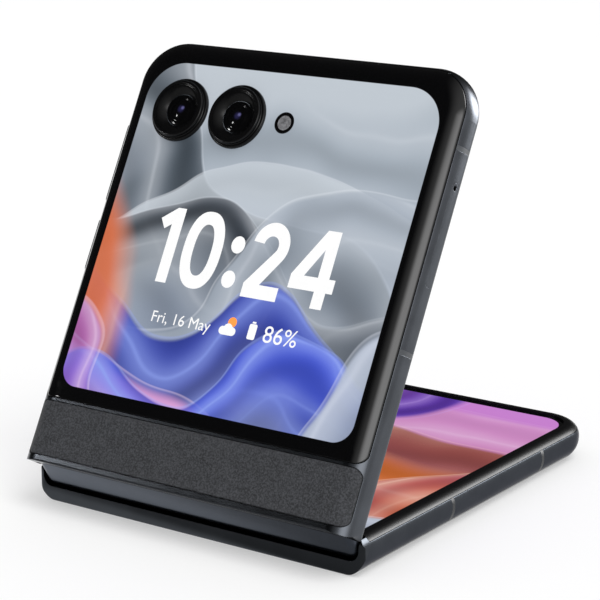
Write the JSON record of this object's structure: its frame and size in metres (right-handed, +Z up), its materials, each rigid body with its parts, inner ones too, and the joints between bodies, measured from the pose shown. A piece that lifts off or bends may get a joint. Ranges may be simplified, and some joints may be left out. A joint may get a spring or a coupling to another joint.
{
  "type": "foldable smartphone",
  "caption": "Foldable smartphone that closes like a clamshell on a slim hinge spine, with a flexible inner display, a cover display beside round cameras, side keys and a card tray",
  "frame": {"origin": "centre of the lower half's outer face, which rests on the table", "axes": "+X along the fold, +Y from the fold to the lower half's far end, +Z up out of the table"},
  "size_m": [0.0743, 0.0911, 0.0833],
  "materials": {
    "frame_metal": "satin anodised dark slate grey",
    "break_plastic": "satin",
    "back_cover": "smooth dark grey coated glass",
    "cover_glass": "glossy black-backed glass",
    "cover_display": "lit display under the glass",
    "soft_strip": "fine-grained dark grey soft covering",
    "rim_plastic": "satin black",
    "soft_rubber": "soft black rubber",
    "flexible_display": "smooth flexible display film",
    "spine_metal": "satin anodised grey",
    "camera_ring": "glossy black",
    "camera_glass": "coated lens glass",
    "flash_diffuser": "milky diffuser",
    "inner_metal": "bare sheet and machined steel",
    "screw_steel": "bare steel",
    "circuit_board": "solder-masked board",
    "battery_wrap": "black wrap",
    "module_plastic": "black moulded plastic"
  },
  "bodies": {
    "lower_half": {"lower_frame": "frame_metal", "lower_break_inlays": "break_plastic", "lower_back_cover": "back_cover", "lower_inner_rim": "rim_plastic", "lower_display_panel": "flexible_display", "lower_display_backing": "inner_metal", "lower_mid_plate": "inner_metal", "lower_battery": "battery_wrap", "sub_board": "circuit_board", "usb_c_socket": "inner_metal", "loudspeaker": "module_plastic", "bottom_microphone": "module_plastic", "vibration_motor": "inner_metal", "lower_swing_arms": "inner_metal", "lower_arm_screws": "screw_steel"},
    "spine": {"spine_cover": "spine_metal", "hinge_base": "inner_metal", "display_fold": "flexible_display"},
    "upper_half": {"upper_frame": "frame_metal", "upper_break_inlays": "break_plastic", "cover_glass": "cover_glass", "cover_display": "cover_display", "soft_strip": "soft_strip", "outer_camera_ring": "camera_ring", "inner_camera_ring": "camera_ring", "outer_camera_window": "camera_glass", "inner_camera_window": "camera_glass", "outer_camera_module": "module_plastic", "inner_camera_module": "module_plastic", "flash_window": "flash_diffuser", "flash_led": "module_plastic", "upper_inner_rim": "rim_plastic", "upper_display_panel": "flexible_display", "upper_display_backing": "inner_metal", "upper_mid_plate": "inner_metal", "main_board": "circuit_board", "upper_battery": "battery_wrap", "earpiece_speaker": "module_plastic", "top_microphone": "module_plastic", "selfie_camera": "module_plastic", "rim_bumpers": "soft_rubber", "sim_socket": "inner_metal", "key_switches": "circuit_board", "upper_swing_arms": "inner_metal", "upper_arm_screws": "screw_steel"},
    "sim_tray": {"sim_tray": "frame_metal"},
    "volume_key": {"volume_key": "frame_metal"},
    "power_key": {"power_key": "frame_metal"}
  },
  "joints": [
    {"name": "lower_fold", "type": "hinge", "parent": "lower_half", "child": "spine", "pos_m": [0, -0.04057, 0.00525], "axis": [1, 0, 0], "range_deg": [-30.75, 59.25], "deforming": ["display_fold"]},
    {"name": "upper_fold", "type": "hinge", "parent": "spine", "child": "upper_half", "pos_m": [0, -0.04288, 0.00912], "axis": [1, 0, 0], "range_deg": [-30.75, 59.25], "deforming": ["display_fold"]},
    {"name": "tray_slide", "type": "slide", "parent": "upper_half", "child": "sim_tray", "axis": [1, 0, 0], "range_m": [0, 0.022]},
    {"name": "volume_press", "type": "slide", "parent": "upper_half", "child": "volume_key", "axis": [1, 0, 0], "range_m": [0, 0.00025], "stiffness_N_per_m": 800},
    {"name": "power_press", "type": "slide", "parent": "upper_half", "child": "power_key", "axis": [1, 0, 0], "range_m": [0, 0.00025], "stiffness_N_per_m": 800}
  ],
  "couplings": [
    {"joint": "lower_fold", "follows": "upper_fold", "ratio": 1}
  ]
}
